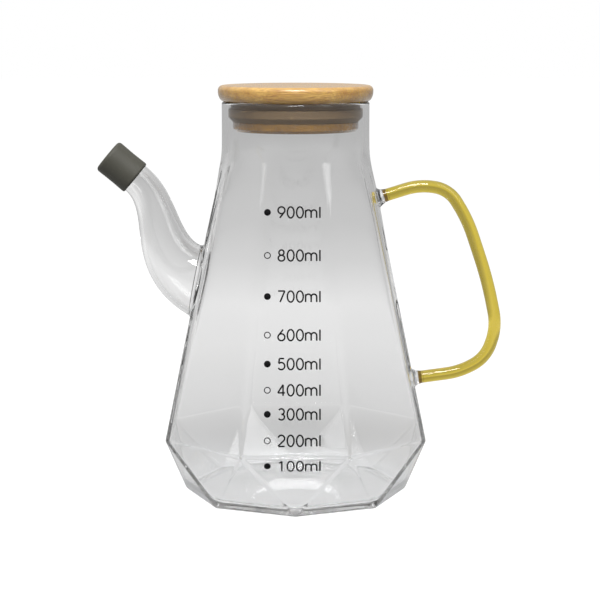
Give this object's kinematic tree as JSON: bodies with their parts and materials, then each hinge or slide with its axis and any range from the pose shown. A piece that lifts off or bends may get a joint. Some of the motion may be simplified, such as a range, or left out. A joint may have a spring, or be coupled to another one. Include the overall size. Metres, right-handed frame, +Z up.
{
  "type": "oil dispenser",
  "caption": "Clear faceted glass oil dispenser with a curved side spout under a soft cap, an amber glass rod handle, and a turned bamboo lid with a seal ring.",
  "frame": {"origin": "centre of the flat base that the vessel stands on", "axes": "+Z up through the neck and lid, the spout leaves towards -X and the handle towards +X, and the face with the scale looks along -Y"},
  "size_m": [0.1837, 0.1172, 0.1867],
  "materials": {
    "clear_glass": "clear, glossy",
    "amber_glass": "amber, glossy",
    "bamboo": "sanded, satin",
    "seal_silicone": "translucent, matte",
    "cap_silicone": "matte"
  },
  "bodies": {
    "root": {"glass_vessel": "clear_glass", "handle": "amber_glass", "lid": "bamboo", "lid_seal": "seal_silicone", "spout_cap": "cap_silicone"}
  },
  "joints": []
}
